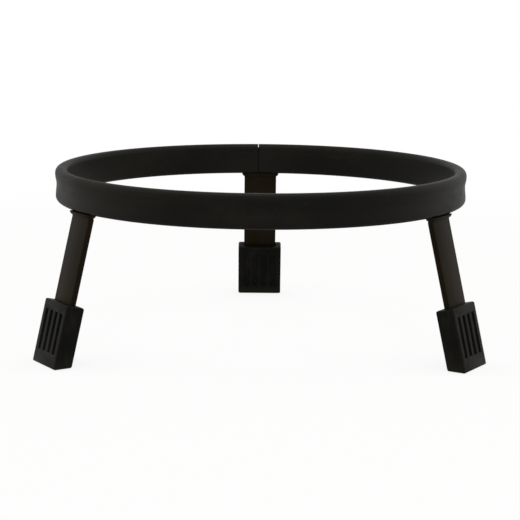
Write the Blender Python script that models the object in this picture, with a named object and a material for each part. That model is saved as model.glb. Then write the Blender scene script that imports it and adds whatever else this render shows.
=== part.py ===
# Low floor stand for a conga: a rubber-covered steel hoop on three splayed flat-bar legs,
# each pushed into a moulded rubber boot. Metres, +Z up, the floor at z = 0.
import bpy
import bmesh
from math import acos, cos, degrees, pi, radians, sin
from mathutils import Matrix, Vector

# Driving sizes
RING_OUTER_RADIUS = 0.1440
RING_BOTTOM_HEIGHT = 0.1005
CLEARANCE = 0.0003

# Steel hoop inside the rubber, a flat bar rolled on edge
HOOP_THICKNESS = 0.0040
HOOP_HEIGHT = 0.0200
RING_STEPS = 72

# Rubber sleeve, pushed over the hoop from above and open below
SLEEVE_WALL = 0.0017
SLEEVE_ROOF = 0.0024
SLEEVE_LIP_RADIUS = 0.0030
SLEEVE_CROWN_RADIUS = 0.0038
WAIST_DEPTH = 0.0006
UPPER_SWELL = 0.0003
WAIST_HEIGHT = 0.0120
SWELL_BELOW_CROWN = 0.0010
SEAM_GAP = 0.0005
SEAM_SHIFT = 0.0012

# Legs, flat bar bent once just below the ring
LEG_WIDTH = 0.0250
LEG_THICKNESS = 0.0040
LEG_EDGE_RADIUS = 0.0008
LEG_LEAN = radians(14.0)
LEG_STRAIGHT_TOP = 0.0030
LEG_BEND_RADIUS = 0.0060
LEG_BEND_STEPS = 4
FRONT_LEG_ANGLE = radians(32.5)

# Weld bead around the head of each leg
WELD_SIZE = 0.0018
WELD_HEIGHT = 0.0022

# Rubber boots
BOOT_WALL = 0.0045
BOOT_COVER = 0.0420
BOOT_SOLE = 0.0080
BOOT_EDGE_RADIUS = 0.0012
GROOVE_COUNT = 4
GROOVE_PITCH = 0.0070
GROOVE_WIDTH = 0.0040
GROOVE_DEPTH = 0.0014
GROOVE_DRAFT = 0.0004
GROOVE_TOP_MARGIN = 0.0062
GROOVE_LENGTH = 0.0280

# Sizes that follow from the ones above
RING_THICKNESS = HOOP_THICKNESS + 2 * (SLEEVE_WALL + CLEARANCE)
RING_MID_RADIUS = RING_OUTER_RADIUS - RING_THICKNESS / 2
HOOP_BOTTOM = RING_BOTTOM_HEIGHT + CLEARANCE
HOOP_TOP = HOOP_BOTTOM + HOOP_HEIGHT
RING_TOP = HOOP_TOP + CLEARANCE + SLEEVE_ROOF
RING_HEIGHT = RING_TOP - RING_BOTTOM_HEIGHT
LEG_TOP = HOOP_BOTTOM - CLEARANCE
BEND_START = LEG_TOP - LEG_STRAIGHT_TOP
LEG_ANGLES = {
    "back": pi / 2,
    "left": pi + FRONT_LEG_ANGLE,
    "right": -FRONT_LEG_ANGLE,
}


def clear_scene():
    for thing in list(bpy.data.objects):
        bpy.data.objects.remove(thing, do_unlink=True)


def make_material(name, color, roughness, metallic):
    material = bpy.data.materials.new(name)
    material.use_nodes = True
    shader = material.node_tree.nodes["Principled BSDF"]
    shader.inputs["Base Color"].default_value = (*color, 1.0)
    shader.inputs["Roughness"].default_value = roughness
    shader.inputs["Metallic"].default_value = metallic
    return material


def finish_mesh(name, bm, sharp_angle=30):
    """Turns the bmesh into mesh data that is smooth on its round faces."""
    bmesh.ops.recalc_face_normals(bm, faces=bm.faces)
    mesh = bpy.data.meshes.new(name)
    bm.to_mesh(mesh)
    bm.free()
    mesh.shade_smooth()
    mesh.set_sharp_from_angle(angle=radians(sharp_angle))
    return mesh


def add_object(name, mesh, material, parent, turn=0.0):
    thing = bpy.data.objects.new(name, mesh)
    bpy.context.scene.collection.objects.link(thing)
    mesh.materials.clear()
    mesh.materials.append(material)
    thing.parent = parent
    thing.rotation_euler = (0, 0, turn)
    return thing


def arc(center_x, center_y, radius, start, end, steps):
    """Points along an arc, angles in radians, both ends included."""
    points = []
    for i in range(steps + 1):
        angle = start + (end - start) * i / steps
        points.append((center_x + radius * cos(angle), center_y + radius * sin(angle)))
    return points


def ease(first, last, steps):
    """Points of a smooth half wave between two points, without its ends."""
    points = []
    for i in range(1, steps):
        share = i / steps
        blend = (1 - cos(pi * share)) / 2
        x = first[0] + (last[0] - first[0]) * blend
        points.append((x, first[1] + (last[1] - first[1]) * share))
    return points


def bridge_rings(bm, rings, closed):
    """Joins loops of vertices, one to the next, with quads."""
    count = len(rings[0])
    pairs = len(rings) if closed else len(rings) - 1
    for i in range(pairs):
        ring = rings[i]
        after = rings[(i + 1) % len(rings)]
        for j in range(count):
            k = (j + 1) % count
            bm.faces.new((ring[j], ring[k], after[k], after[j]))


def turn_section(section, start, end, closed):
    """Turns a (radius, height) outline about the ring's axis."""
    bm = bmesh.new()
    rings = []
    count = RING_STEPS if closed else RING_STEPS + 1
    for i in range(count):
        angle = start + (end - start) * i / RING_STEPS
        ring = []
        for radius, height in section:
            ring.append(bm.verts.new((radius * cos(angle), radius * sin(angle), height)))
        rings.append(ring)
    bridge_rings(bm, rings, closed)
    if not closed:
        bm.faces.new(rings[0])
        bm.faces.new(list(reversed(rings[-1])))
    return bm


def hoop_mesh():
    inner = RING_MID_RADIUS - HOOP_THICKNESS / 2
    outer = RING_MID_RADIUS + HOOP_THICKNESS / 2
    section = [(inner, HOOP_BOTTOM), (outer, HOOP_BOTTOM), (outer, HOOP_TOP), (inner, HOOP_TOP)]
    return finish_mesh("hoop", turn_section(section, pi / 2, pi / 2 + 2 * pi, True))


def sleeve_section():
    """Outline of the rubber channel, from its outer lip round over the crown to its inner lip."""
    pocket_half = HOOP_THICKNESS / 2 + CLEARANCE
    pocket_outer = RING_MID_RADIUS + pocket_half
    pocket_inner = RING_MID_RADIUS - pocket_half
    pocket_top = HOOP_TOP + CLEARANCE
    inner_radius = RING_MID_RADIUS - RING_THICKNESS / 2
    lip_turn = acos(min(1.0, (SLEEVE_LIP_RADIUS - SLEEVE_WALL) / SLEEVE_LIP_RADIUS))
    lip_z = RING_BOTTOM_HEIGHT + SLEEVE_LIP_RADIUS
    crown_z = RING_TOP - SLEEVE_CROWN_RADIUS
    lower = (RING_OUTER_RADIUS, lip_z)
    waist = (RING_OUTER_RADIUS - WAIST_DEPTH, RING_BOTTOM_HEIGHT + WAIST_HEIGHT)
    swell = (RING_OUTER_RADIUS + UPPER_SWELL, crown_z - SWELL_BELOW_CROWN)
    points = arc(RING_OUTER_RADIUS - SLEEVE_LIP_RADIUS, lip_z, SLEEVE_LIP_RADIUS, -lip_turn, 0, 4)
    points += ease(lower, waist, 4)
    points += [waist]
    points += ease(waist, swell, 4)
    points += [swell]
    points += arc(swell[0] - SLEEVE_CROWN_RADIUS, crown_z, SLEEVE_CROWN_RADIUS, 0, pi / 2, 5)
    points += arc(inner_radius + SLEEVE_CROWN_RADIUS, crown_z, SLEEVE_CROWN_RADIUS, pi / 2, pi, 5)
    points += arc(inner_radius + SLEEVE_LIP_RADIUS, lip_z, SLEEVE_LIP_RADIUS, pi, pi + lip_turn, 4)
    points += [(pocket_inner, pocket_top), (pocket_outer, pocket_top)]
    return points


def sleeve_mesh():
    seam = pi / 2 + SEAM_SHIFT / RING_MID_RADIUS
    half_gap = SEAM_GAP / (2 * RING_MID_RADIUS)
    bm = turn_section(sleeve_section(), seam + half_gap, seam + 2 * pi - half_gap, False)
    return finish_mesh("ring_sleeve", bm)


def rounded_rectangle(width, depth, radius, steps=2):
    """Outline of a rectangle with round corners, centred on zero."""
    points = []
    for corner in range(4):
        side_x = 1 if corner in (0, 3) else -1
        side_y = 1 if corner in (0, 1) else -1
        start = corner * pi / 2
        center_x = side_x * (width / 2 - radius)
        center_y = side_y * (depth / 2 - radius)
        points += arc(center_x, center_y, radius, start, start + pi / 2, steps)
    return points


def leg_path():
    """Middle line of the back leg as (radius, height, lean), head to foot."""
    path = [(RING_MID_RADIUS, LEG_TOP, 0.0)]
    center_radius = RING_MID_RADIUS + LEG_BEND_RADIUS
    for i in range(LEG_BEND_STEPS + 1):
        lean = LEG_LEAN * i / LEG_BEND_STEPS
        radius = center_radius - LEG_BEND_RADIUS * cos(lean)
        path.append((radius, BEND_START - LEG_BEND_RADIUS * sin(lean), lean))
    return path


def along_leg(distance):
    """Point on the leg's middle line, a distance below the end of its bend."""
    radius, height, lean = leg_path()[-1]
    return radius + distance * sin(lean), height - distance * cos(lean)


def sole_distance():
    """Distance from the end of the bend down to the floor, along the leg."""
    return leg_path()[-1][1] / cos(LEG_LEAN)


def leg_end_distance():
    return sole_distance() - BOOT_SOLE


def leg_mesh():
    bm = bmesh.new()
    outline = rounded_rectangle(LEG_WIDTH, LEG_THICKNESS, LEG_EDGE_RADIUS)
    end_radius, end_height = along_leg(leg_end_distance())
    rings = []
    for radius, height, lean in leg_path() + [(end_radius, end_height, LEG_LEAN)]:
        ring = []
        for x, y in outline:
            ring.append(bm.verts.new((x, radius + y * cos(lean), height + y * sin(lean))))
        rings.append(ring)
    bridge_rings(bm, rings, False)
    bm.faces.new(list(reversed(rings[0])))
    bm.faces.new(rings[-1])
    return finish_mesh("leg", bm)


def weld_mesh():
    """Bead that runs all round the head of the leg, below the hoop's edge."""
    bm = bmesh.new()
    bottom = LEG_TOP - WELD_HEIGHT
    levels = [
        (CLEARANCE, bottom),
        (WELD_SIZE * 0.35, bottom),
        (WELD_SIZE * 0.75, bottom + WELD_HEIGHT * 0.35),
        (WELD_SIZE, bottom + WELD_HEIGHT * 0.75),
        (WELD_SIZE, LEG_TOP),
        (CLEARANCE, LEG_TOP),
    ]
    rings = []
    for grow, height in levels:
        outline = rounded_rectangle(LEG_WIDTH + 2 * grow, LEG_THICKNESS + 2 * grow, LEG_EDGE_RADIUS + grow)
        rings.append([bm.verts.new((x, RING_MID_RADIUS + y, height)) for x, y in outline])
    bridge_rings(bm, rings, True)
    return finish_mesh("weld", bm)


def leg_frame():
    """Frame whose X runs across the leg, Y outward and Z up along it, at the floor."""
    radius, height = along_leg(sole_distance())
    return Matrix.Translation((0, radius, height)) @ Matrix.Rotation(LEG_LEAN, 4, "X")


def box(bm, low, high):
    """Adds a box between two corners and returns its vertices."""
    size = Vector(high) - Vector(low)
    middle = (Vector(high) + Vector(low)) / 2
    matrix = Matrix.Translation(middle) @ Matrix.Diagonal((*size, 1.0))
    return bmesh.ops.create_cube(bm, size=1.0, matrix=matrix)["verts"]


def boot_blank_mesh():
    """Outside of the boot: square to the leg at its top, level at its sole."""
    width = LEG_WIDTH + 2 * BOOT_WALL
    depth = LEG_THICKNESS + 2 * BOOT_WALL
    bm = bmesh.new()
    box(bm, (-width / 2, -depth / 2, -depth), (width / 2, depth / 2, BOOT_COVER))
    bm.transform(leg_frame())
    geometry = bm.verts[:] + bm.edges[:] + bm.faces[:]
    cut = bmesh.ops.bisect_plane(bm, geom=geometry, plane_co=(0, 0, 0), plane_no=(0, 0, -1), clear_outer=True)
    rim = [item for item in cut["geom_cut"] if isinstance(item, bmesh.types.BMEdge)]
    bmesh.ops.holes_fill(bm, edges=rim, sides=4)
    bmesh.ops.bevel(bm, geom=bm.edges[:], offset=BOOT_EDGE_RADIUS, segments=2, profile=0.5, affect="EDGES")
    return finish_mesh("boot", bm)


def boot_cutter_mesh():
    """Socket for the leg and the grooves of both wide faces."""
    bm = bmesh.new()
    depth = LEG_THICKNESS + 2 * BOOT_WALL
    socket_x = LEG_WIDTH / 2 + CLEARANCE
    socket_y = LEG_THICKNESS / 2 + CLEARANCE
    socket_low = BOOT_SOLE - CLEARANCE
    box(bm, (-socket_x, -socket_y, socket_low), (socket_x, socket_y, BOOT_COVER * 1.2))
    groove_top = BOOT_COVER - GROOVE_TOP_MARGIN
    groove_low = groove_top - GROOVE_LENGTH
    for side in (-1, 1):
        for i in range(GROOVE_COUNT):
            x = (i - (GROOVE_COUNT - 1) / 2) * GROOVE_PITCH
            floor_y = side * (depth / 2 - GROOVE_DEPTH)
            open_y = side * (depth / 2 + GROOVE_DEPTH)
            low = (x - GROOVE_WIDTH / 2, min(floor_y, open_y), groove_low)
            high = (x + GROOVE_WIDTH / 2, max(floor_y, open_y), groove_top)
            for vert in box(bm, low, high):
                if abs(vert.co.y - floor_y) < GROOVE_DEPTH / 2:
                    vert.co.x += GROOVE_DRAFT if vert.co.x < x else -GROOVE_DRAFT
                    vert.co.z += GROOVE_DRAFT if vert.co.z < groove_low + GROOVE_LENGTH / 2 else -GROOVE_DRAFT
    bm.transform(leg_frame())
    return finish_mesh("boot_cutter", bm)


def add_boot(name, mesh, cutter, material, parent, turn):
    boot = add_object(name, mesh, material, parent, turn)
    cut = boot.modifiers.new("socket_and_grooves", "BOOLEAN")
    cut.operation = "DIFFERENCE"
    cut.solver = "EXACT"
    cut.object = cutter
    return boot


def add_cutter(name, mesh, parent, turn):
    cutter = bpy.data.objects.new(name, mesh)
    bpy.context.scene.collection.objects.link(cutter)
    cutter.parent = parent
    cutter.rotation_euler = (0, 0, turn)
    cutter.hide_render = True
    cutter.display_type = "WIRE"
    return cutter


def footprint_middle():
    """Middle of the stand's front and back reach, with the ring's axis at zero."""
    foot_radius, _ = along_leg(sole_distance())
    outer_foot = foot_radius + (LEG_THICKNESS / 2 + BOOT_WALL) / cos(LEG_LEAN)
    return (outer_foot - RING_OUTER_RADIUS - UPPER_SWELL) / 2


def build_stand():
    clear_scene()
    steel = make_material("painted_steel", (0.030, 0.028, 0.024), 0.42, 0.0)
    weld_paint = make_material("painted_weld", (0.024, 0.022, 0.020), 0.50, 0.0)
    ring_rubber = make_material("ring_rubber", (0.022, 0.021, 0.019), 0.55, 0.0)
    boot_rubber = make_material("boot_rubber", (0.026, 0.026, 0.024), 0.60, 0.0)

    stand = bpy.data.objects.new("stand", None)
    stand.location = (0, -footprint_middle(), 0)
    bpy.context.scene.collection.objects.link(stand)

    add_object("hoop", hoop_mesh(), steel, stand)
    add_object("ring_sleeve", sleeve_mesh(), ring_rubber, stand)

    shared_leg = leg_mesh()
    shared_weld = weld_mesh()
    shared_boot = boot_blank_mesh()
    shared_cutter = boot_cutter_mesh()
    for place, angle in LEG_ANGLES.items():
        turn = angle - pi / 2
        add_object("leg_" + place, shared_leg, steel, stand, turn)
        add_object("weld_" + place, shared_weld, weld_paint, stand, turn)
        cutter = add_cutter("boot_cutter_" + place, shared_cutter, stand, turn)
        add_boot("boot_" + place, shared_boot, cutter, boot_rubber, stand, turn)

    print("ring diameter", round(RING_OUTER_RADIUS * 2, 4), "height", round(RING_TOP, 4))
    print("front leg angle", round(degrees(FRONT_LEG_ANGLE), 2))
    print("ring axis at y", round(-footprint_middle(), 5), "ring height", round(RING_HEIGHT, 4))


build_stand()
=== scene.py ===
# Low conga stand, dressed for a studio picture: rubber ring, painted bar legs, grooved rubber boots.
import bpy
from math import acos, cos, pi, radians, sin
from mathutils import Matrix, Vector


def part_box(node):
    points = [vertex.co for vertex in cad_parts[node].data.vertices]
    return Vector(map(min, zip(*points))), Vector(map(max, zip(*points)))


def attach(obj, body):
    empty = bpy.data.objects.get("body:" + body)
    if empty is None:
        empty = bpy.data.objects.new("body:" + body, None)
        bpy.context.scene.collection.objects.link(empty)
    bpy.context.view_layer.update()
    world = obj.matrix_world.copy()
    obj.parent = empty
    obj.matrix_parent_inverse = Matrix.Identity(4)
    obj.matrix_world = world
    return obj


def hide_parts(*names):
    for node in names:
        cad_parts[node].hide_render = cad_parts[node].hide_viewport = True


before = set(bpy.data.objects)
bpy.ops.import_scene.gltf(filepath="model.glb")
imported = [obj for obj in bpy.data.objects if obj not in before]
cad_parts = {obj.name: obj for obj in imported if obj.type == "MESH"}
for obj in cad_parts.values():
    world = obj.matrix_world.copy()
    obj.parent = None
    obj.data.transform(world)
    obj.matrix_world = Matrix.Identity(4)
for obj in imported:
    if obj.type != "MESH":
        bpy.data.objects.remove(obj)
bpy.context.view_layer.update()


# One socket of a node tree, so that shader maths reads as plain expressions
class Wire:
    def __init__(self, shop, socket):
        self.shop = shop
        self.socket = socket

    def join(self, kind, other, swap=False):
        first, second = (other, self) if swap else (self, other)
        return self.shop.node("ShaderNodeMath", {"operation": kind}, {0: first, 1: second})[0]

    def __add__(self, other):
        return self.join("ADD", other)

    def __radd__(self, other):
        return self.join("ADD", other, True)

    def __sub__(self, other):
        return self.join("SUBTRACT", other)

    def __rsub__(self, other):
        return self.join("SUBTRACT", other, True)

    def __mul__(self, other):
        return self.join("MULTIPLY", other)

    def __rmul__(self, other):
        return self.join("MULTIPLY", other, True)


# Node tree of a material or of the world
class Shop:
    def __init__(self, owner):
        owner.use_nodes = True
        self.tree = owner.node_tree

    def plug(self, socket, value):
        if isinstance(value, Wire):
            self.tree.links.new(value.socket, socket)
        else:
            socket.default_value = value

    def node(self, kind, settings, sockets):
        made = self.tree.nodes.new(kind)
        for key, value in settings.items():
            setattr(made, key, value)
        for key, value in sockets.items():
            self.plug(made.inputs[key], value)
        return [Wire(self, out) for out in made.outputs]

    def place(self):
        return self.node("ShaderNodeTexCoord", {}, {})[3]  # object coordinates

    def level(self):
        return self.node("ShaderNodeSeparateXYZ", {}, {0: self.place()})[2]

    def noise(self, scale, detail=4.0, roughness=0.5, stretch=(1, 1, 1)):
        point = self.node("ShaderNodeMapping", {}, {"Vector": self.place(), "Scale": stretch})[0]
        sockets = {"Vector": point, "Scale": scale, "Detail": detail, "Roughness": roughness}
        return self.node("ShaderNodeTexNoise", {}, sockets)[0]

    def band(self, value, low, high):
        sockets = {"Value": value, "From Min": low, "From Max": high}
        return self.node("ShaderNodeMapRange", {"interpolation_type": "SMOOTHSTEP"}, sockets)[0]

    def mix(self, share, first, second):
        return self.node("ShaderNodeMix", {"data_type": "RGBA"}, {0: share, 6: first, 7: second})[2]

    def larger(self, first, second):
        return self.node("ShaderNodeMath", {"operation": "MAXIMUM"}, {0: first, 1: second})[0]

    def seenWhite(self):
        rays = self.node("ShaderNodeLightPath", {}, {})
        return self.larger(self.larger(rays[0], rays[3]), rays[6])  # camera, glossy and transmission rays


def makeFinish(name, build):
    material = bpy.data.materials.new(name)
    shop = Shop(material)
    shader = material.node_tree.nodes["Principled BSDF"]
    color, roughness, bumps, gloss = build(shop)
    shop.plug(shader.inputs["Base Color"], color)
    shop.plug(shader.inputs["Roughness"], roughness)
    normal = None
    for strength, distance, height in bumps:
        sockets = {"Strength": strength, "Distance": distance, "Height": height}
        if normal:
            sockets["Normal"] = normal
        normal = shop.node("ShaderNodeBump", {}, sockets)[0]
    shop.plug(shader.inputs["Normal"], normal)
    shader.inputs["Specular IOR Level"].default_value = gloss
    return material


# Ring rubber: black, worn in clouds, dusty in smears, with a faint crease under the crown, whose line is
# darkened in colour as painted shade
ringFinish = {
    "dark": (0.0032, 0.0029, 0.0021, 1),
    "worn": (0.0080, 0.0070, 0.0050, 1),
    "dust": (0.024, 0.021, 0.016, 1),
    # painted shade: near-black colour laid along the crease line under the crown
    "creaseShadeColor": (0.004, 0.004, 0.004, 1),
    "roughness": 0.46,
    "wornRoughness": 0.16,
    "dustRoughness": 0.18,
    "gloss": 0.07,
    "cloud": {"scale": 14.0, "detail": 5.0, "roughness": 0.6, "stretch": (1, 1, 2.2)},
    "smear": {"scale": 48.0, "detail": 6.0, "roughness": 0.65, "stretch": (1, 1, 3.5)},
    "speck": {"scale": 330.0, "detail": 3.0, "roughness": 0.6},
    "grain": {"scale": 900.0, "detail": 3.0, "roughness": 0.55},
    "creaseBreaks": {"scale": 9.0, "detail": 2.0},
    "wornBand": (0.42, 0.68),
    "smearBand": (0.56, 0.78),
    "speckBand": (0.45, 0.70),
    "breakBand": (0.47, 0.60),
    "dustShare": 0.55,
    "creaseShadeShare": 0.6,
    "creaseDrop": 0.0062,  # below the top of the ring
    "creaseHalf": 0.0011,
    "cloudBump": (0.55, 0.00025),
    "smearBump": (0.35, 0.00012),
    "grainBump": (0.22, 0.00006),
    "creaseBump": (0.5, 0.0003),
}


def ringRubberNodes(shop):
    finish = ringFinish
    cloud = shop.noise(**finish["cloud"])
    smear = shop.noise(**finish["smear"])
    grain = shop.noise(**finish["grain"])
    worn = shop.band(cloud, *finish["wornBand"])
    specks = shop.band(shop.noise(**finish["speck"]), *finish["speckBand"])
    dusty = shop.band(smear, *finish["smearBand"]) * specks
    level = shop.level()
    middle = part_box("ring_sleeve")[1].z - finish["creaseDrop"]
    above = shop.band(level, middle, middle + finish["creaseHalf"])
    below = shop.band(level, middle - finish["creaseHalf"], middle)
    breaks = shop.band(shop.noise(**finish["creaseBreaks"]), *finish["breakBand"])
    crease = (1 - above) * below * breaks
    color = shop.mix(worn, finish["dark"], finish["worn"])
    color = shop.mix(dusty * finish["dustShare"], color, finish["dust"])
    # painted shade: the crease band is darkened in colour, on top of its bump
    color = shop.mix(crease * finish["creaseShadeShare"], color, finish["creaseShadeColor"])
    roughness = finish["roughness"] + finish["wornRoughness"] * worn + finish["dustRoughness"] * dusty
    bumps = [
        (*finish["cloudBump"], cloud),
        (*finish["smearBump"], smear),
        (*finish["grainBump"], grain),
        (*finish["creaseBump"], 1 - crease),
    ]
    return color, roughness, bumps, finish["gloss"]


# Satin paint with a little orange peel and a few small chips
paintFinish = {
    "dark": (0.0056, 0.0038, 0.0011, 1),
    "light": (0.0104, 0.0072, 0.0024, 1),
    "chip": (0.034, 0.027, 0.016, 1),
    "roughness": 0.42,
    "weldDull": 0.10,
    "cloudRoughness": 0.14,
    "chipRoughness": 0.15,
    "gloss": 0.04,
    "cloud": {"scale": 34.0, "detail": 4.0, "roughness": 0.55},
    "peel": {"scale": 420.0, "detail": 2.0, "roughness": 0.5},
    "speck": {"scale": 620.0, "detail": 2.0, "roughness": 0.6},
    "lightBand": (0.35, 0.70),
    "speckBand": (0.70, 0.76),
    "chipBand": (0.50, 0.70),
    "chipShare": 0.7,
    "peelBump": (0.30, 0.00010),
    "cloudBump": (0.25, 0.00030),
}


def paintNodes(shop, dull):
    finish = paintFinish
    cloud = shop.noise(**finish["cloud"])
    peel = shop.noise(**finish["peel"])
    specks = shop.band(shop.noise(**finish["speck"]), *finish["speckBand"])
    chips = specks * shop.band(cloud, *finish["chipBand"])
    color = shop.mix(shop.band(cloud, *finish["lightBand"]), finish["dark"], finish["light"])
    color = shop.mix(chips * finish["chipShare"], color, finish["chip"])
    roughness = finish["roughness"] + dull + finish["cloudRoughness"] * cloud
    roughness = roughness + finish["chipRoughness"] * chips
    bumps = [(*finish["peelBump"], peel), (*finish["cloudBump"], cloud)]
    return color, roughness, bumps, finish["gloss"]


def legPaintNodes(shop):
    return paintNodes(shop, 0.0)


def weldPaintNodes(shop):
    return paintNodes(shop, paintFinish["weldDull"])


# Boot rubber: matt black, scuffed along the boot and dusty at the sole
bootFinish = {
    "dark": (0.0022, 0.0021, 0.0015, 1),
    "light": (0.0060, 0.0056, 0.0042, 1),
    "dust": (0.019, 0.018, 0.013, 1),
    "roughness": 0.50,
    "dustRoughness": 0.15,
    "gloss": 0.05,
    "cloud": {"scale": 60.0, "detail": 4.0, "roughness": 0.6},
    "scuff": {"scale": 150.0, "detail": 5.0, "roughness": 0.65, "stretch": (1, 1, 0.35)},
    "grain": {"scale": 1100.0, "detail": 3.0, "roughness": 0.6},
    "lightBand": (0.38, 0.66),
    "scuffBand": (0.55, 0.78),
    "soleBand": (0.003, 0.012),  # heights above the floor
    "soleWander": 0.006,
    "scuffShare": 0.35,
    "soleShare": 0.3,
    "cloudBump": (0.30, 0.00020),
    "grainBump": (0.30, 0.00008),
}


def bootRubberNodes(shop):
    finish = bootFinish
    cloud = shop.noise(**finish["cloud"])
    scuff = shop.noise(**finish["scuff"])
    grain = shop.noise(**finish["grain"])
    dusty = shop.band(scuff, *finish["scuffBand"])
    sole = 1 - shop.band(shop.level() + finish["soleWander"] * cloud, *finish["soleBand"])
    color = shop.mix(shop.band(cloud, *finish["lightBand"]), finish["dark"], finish["light"])
    color = shop.mix(dusty * finish["scuffShare"] + sole * finish["soleShare"], color, finish["dust"])
    roughness = finish["roughness"] + finish["dustRoughness"] * dusty
    bumps = [(*finish["cloudBump"], cloud), (*finish["grainBump"], grain)]
    return color, roughness, bumps, finish["gloss"]


ringRubber = makeFinish("ringRubber", ringRubberNodes)
legPaint = makeFinish("legPaint", legPaintNodes)
weldPaint = makeFinish("weldPaint", weldPaintNodes)
bootRubber = makeFinish("bootRubber", bootRubberNodes)
print("finishes made")


# Rubber ring: a channel section, swollen at the crown and the lips, spun round to a seam at the back
ring = {
    "outerRadius": 0.1440,
    "thickness": 0.0080,
    "wall": 0.0017,
    "roof": 0.0024,
    "lipRadius": 0.0030,
    "crownRadius": 0.0038,
    "waistDepth": 0.0006,
    "waistUp": 0.0120,
    "upperSwell": 0.0003,
    "swellDrop": 0.0010,
    "lipDrop": 0.0003,  # below the hoop
    "seamGap": 0.0005,
    "seamShift": 0.0012,
    "turnSteps": 288,
    "arcSteps": 8,
    "smoothAngle": 35,
}


def arc(x, z, radius, start, end, steps):
    points = []
    for i in range(steps + 1):
        angle = start + (end - start) * i / steps
        points.append((x + radius * cos(angle), z + radius * sin(angle)))
    return points


# Half wave between two points, without its ends
def ease(first, last, steps):
    points = []
    for i in range(1, steps):
        share = i / steps
        blend = (1 - cos(pi * share)) / 2
        x = first[0] + (last[0] - first[0]) * blend
        points.append((x, first[1] + (last[1] - first[1]) * share))
    return points


def sleeveOutline(bottom, top):
    steps = ring["arcSteps"]
    outer = ring["outerRadius"]
    inner = outer - ring["thickness"]
    lip = ring["lipRadius"]
    crown = ring["crownRadius"]
    lipTurn = acos((lip - ring["wall"]) / lip)
    lowPoint = (outer, bottom + lip)
    waist = (outer - ring["waistDepth"], bottom + ring["waistUp"])
    swell = (outer + ring["upperSwell"], top - crown - ring["swellDrop"])
    points = arc(outer - lip, bottom + lip, lip, -lipTurn, 0, steps)
    points += ease(lowPoint, waist, steps) + [waist]
    points += ease(waist, swell, steps) + [swell]
    points += arc(swell[0] - crown, top - crown, crown, 0, pi / 2, steps)
    points += arc(inner + crown, top - crown, crown, pi / 2, pi, steps)
    points += arc(inner + lip, bottom + lip, lip, pi, pi + lipTurn, steps)
    points += [(inner + ring["wall"], top - ring["roof"]), (outer - ring["wall"], top - ring["roof"])]
    return points


def clearSelection():
    if bpy.context.object and bpy.context.object.mode != "OBJECT":
        bpy.ops.object.mode_set(mode="OBJECT")
    bpy.ops.object.select_all(action="DESELECT")


def ringAxis():
    low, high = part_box("hoop")
    return Vector(((low.x + high.x) / 2, (low.y + high.y) / 2, 0))


def makeRing():
    axis = ringAxis()
    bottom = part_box("hoop")[0].z - ring["lipDrop"]
    outline = sleeveOutline(bottom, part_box("ring_sleeve")[1].z)
    middleRadius = ring["outerRadius"] - ring["thickness"] / 2
    halfGap = ring["seamGap"] / (2 * middleRadius)
    startAngle = pi / 2 + ring["seamShift"] / middleRadius + halfGap
    clearSelection()
    bpy.ops.mesh.primitive_circle_add(vertices=len(outline), radius=ring["thickness"], location=(0, 0, 0))
    sleeve = bpy.context.object
    sleeve.name = "ringSleeve"
    for vertex, (radius, height) in zip(sleeve.data.vertices, outline):
        vertex.co = (axis.x + radius * cos(startAngle), axis.y + radius * sin(startAngle), height)
    bpy.ops.object.mode_set(mode="EDIT")
    bpy.ops.mesh.select_all(action="SELECT")
    bpy.ops.mesh.edge_face_add()
    bpy.ops.mesh.spin(steps=ring["turnSteps"], angle=2 * pi - 2 * halfGap, center=axis, axis=(0, 0, 1))
    bpy.ops.mesh.select_all(action="SELECT")
    bpy.ops.mesh.normals_make_consistent(inside=False)
    bpy.ops.object.mode_set(mode="OBJECT")
    bpy.ops.object.shade_smooth_by_angle(angle=radians(ring["smoothAngle"]))
    return sleeve


# Legs, weld beads and boots: merged copies of the solids, with softer edges on the boots
limb = {
    "mergeDistance": 0.000005,
    "quadAngle": 1,
    "quadSkew": 180,
    "flatAngle": 0.5,
    "legSmooth": 32,
    "weldSmooth": 50,
    "bootSmooth": 40,
    "bootBevel": 0.00035,
    "bevelSegments": 3,
    "bevelAngle": 35,
}


def copyOf(node, name):
    clearSelection()
    piece = bpy.data.objects.new(name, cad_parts[node].data.copy())
    bpy.context.scene.collection.objects.link(piece)
    bpy.context.view_layer.objects.active = piece
    piece.select_set(True)
    quadAngle = radians(limb["quadAngle"])
    quadSkew = radians(limb["quadSkew"])
    bpy.ops.object.mode_set(mode="EDIT")
    bpy.ops.mesh.select_all(action="SELECT")
    bpy.ops.mesh.remove_doubles(threshold=limb["mergeDistance"])
    bpy.ops.mesh.tris_convert_to_quads(face_threshold=quadAngle, shape_threshold=quadSkew)
    bpy.ops.mesh.dissolve_limited(angle_limit=radians(limb["flatAngle"]))
    bpy.ops.object.mode_set(mode="OBJECT")
    return piece


def soften(piece):
    edges = piece.modifiers.new("soften", "BEVEL")
    edges.width = limb["bootBevel"]
    edges.segments = limb["bevelSegments"]
    edges.limit_method = "ANGLE"
    edges.angle_limit = radians(limb["bevelAngle"])
    bpy.ops.object.modifier_apply(modifier="soften")


def smooth(angle):
    bpy.ops.object.shade_smooth_by_angle(angle=radians(angle))


def dress(piece, material, node):
    piece.data.materials.clear()
    piece.data.materials.append(material)
    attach(piece, "root")
    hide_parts(node)


dress(makeRing(), ringRubber, "ring_sleeve")
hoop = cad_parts["hoop"]
hoop.data.materials.clear()
hoop.data.materials.append(legPaint)
print("ring made")

for side in ("back", "left", "right"):
    leg = copyOf("leg_" + side, "leg" + side.title())
    smooth(limb["legSmooth"])
    dress(leg, legPaint, "leg_" + side)
    weld = copyOf("weld_" + side, "weld" + side.title())
    smooth(limb["weldSmooth"])
    dress(weld, weldPaint, "weld_" + side)
    boot = copyOf("boot_" + side, "boot" + side.title())
    soften(boot)
    smooth(limb["bootSmooth"])
    dress(boot, bootRubber, "boot_" + side)
print("legs, beads and boots made")


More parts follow.
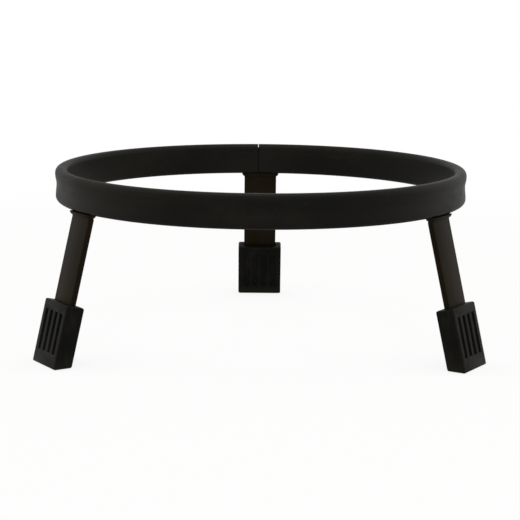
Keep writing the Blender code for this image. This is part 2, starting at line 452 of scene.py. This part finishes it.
# Studio: a pale floor that fades to white, a white surround and four soft lamps
studio = {
    "floorSize": 40.0,
    "floorDrop": 0.0002,
    "floorColor": (0.86, 0.86, 0.86, 1),
    "floorRoughness": 0.9,
    "floorGlow": 0.86,
    "fadeStart": 0.30,
    "fadeEnd": 0.90,
    "white": (1, 1, 1, 1),
    "worldFill": 0.42,
}
lamps = {
    "leftSoftbox": {
        "place": (-1.1, 0.0, 0.55),
        "aim": (0, 0, 0.08),
        "size": (1.6, 1.3),
        "watts": 5.0,
        "tint": (1.0, 0.93, 0.80),
    },
    "rightSoftbox": {
        "place": (1.1, 0.0, 0.55),
        "aim": (0, 0, 0.08),
        "size": (1.6, 1.3),
        "watts": 5.0,
        "tint": (1.0, 0.93, 0.80),
    },
    "topSoftbox": {
        "place": (0, -0.1, 1.3),
        "aim": (0, 0, 0.1),
        "size": (1.2, 1.0),
        "watts": 8.0,
        "tint": (1.0, 1.0, 1.0),
    },
    "frontFill": {
        "place": (0.1, -1.5, 0.7),
        "aim": (0, 0, 0.08),
        "size": (0.9, 0.6),
        "watts": 3.5,
        "tint": (1.0, 1.0, 1.0),
    },
}


def makeFloor():
    clearSelection()
    bpy.ops.mesh.primitive_plane_add(size=studio["floorSize"], location=(0, 0, -studio["floorDrop"]))
    floor = bpy.context.object
    floor.name = "floor"
    material = bpy.data.materials.new("paleFloor")
    shop = Shop(material)
    shader = material.node_tree.nodes["Principled BSDF"]
    shader.inputs["Base Color"].default_value = studio["floorColor"]
    shader.inputs["Roughness"].default_value = studio["floorRoughness"]
    distance = shop.node("ShaderNodeVectorMath", {"operation": "LENGTH"}, {0: shop.place()})[1]
    far = shop.band(distance, studio["fadeStart"], studio["fadeEnd"])
    glowShare = shop.seenWhite() * (studio["floorGlow"] + (1 - studio["floorGlow"]) * far)
    glow = shop.node("ShaderNodeEmission", {}, {"Color": studio["white"], "Strength": 1.0})[0]
    sockets = {0: glowShare, 1: Wire(shop, shader.outputs[0]), 2: glow}
    surface = shop.node("ShaderNodeMixShader", {}, sockets)[0]
    shop.plug(material.node_tree.nodes["Material Output"].inputs["Surface"], surface)
    floor.data.materials.append(material)


def makeWorld():
    world = bpy.data.worlds.new("studioWorld")
    bpy.context.scene.world = world
    shop = Shop(world)
    surround = world.node_tree.nodes["Background"]
    surround.inputs["Color"].default_value = studio["white"]
    strength = studio["worldFill"] + (1 - studio["worldFill"]) * shop.seenWhite()
    shop.plug(surround.inputs["Strength"], strength)


def makeLamp(name, place, aim, size, watts, tint):
    lamp = bpy.data.lights.new(name, "AREA")
    lamp.shape = "RECTANGLE"
    lamp.size = size[0]
    lamp.size_y = size[1]
    lamp.energy = watts
    lamp.color = tint
    lampObject = bpy.data.objects.new(name, lamp)
    bpy.context.scene.collection.objects.link(lampObject)
    lampObject.location = place
    lampObject.rotation_euler = (Vector(aim) - Vector(place)).to_track_quat("-Z", "Y").to_euler()


# Camera: distances from the ring's axis and the hoop's lower edge, angles in radians
view = {
    "back": 1.1693,
    "side": -0.0036,
    "up": 0.1667,
    "pitch": 0.1790,
    "roll": 0.0090,
    "yaw": 0.0030,
    "focalPixels": 1666.7,
    "pictureWidth": 520,
    "sensorWidth": 36,
}


def makeCamera():
    pitch = view["pitch"]
    yaw = view["yaw"]
    roll = view["roll"]
    forward = Vector((sin(yaw) * cos(pitch), cos(yaw) * cos(pitch), -sin(pitch)))
    level = Vector((cos(yaw), -sin(yaw), 0))
    up = level.cross(forward)
    right = cos(roll) * level + sin(roll) * up
    upright = -sin(roll) * level + cos(roll) * up
    camera = bpy.data.cameras.new("camera")
    camera.sensor_width = view["sensorWidth"]
    camera.lens = view["focalPixels"] / view["pictureWidth"] * view["sensorWidth"]
    cameraObject = bpy.data.objects.new("camera", camera)
    bpy.context.scene.collection.objects.link(cameraObject)
    place = Vector((view["side"], ringAxis().y - view["back"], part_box("hoop")[0].z + view["up"]))
    turn = Matrix((right, upright, -forward)).transposed().to_4x4()
    cameraObject.matrix_world = Matrix.Translation(place) @ turn
    bpy.context.scene.camera = cameraObject


makeFloor()
makeWorld()
for lampName, settings in lamps.items():
    makeLamp(lampName, **settings)
makeCamera()
bpy.context.scene.view_settings.view_transform = "Standard"
print("studio made")
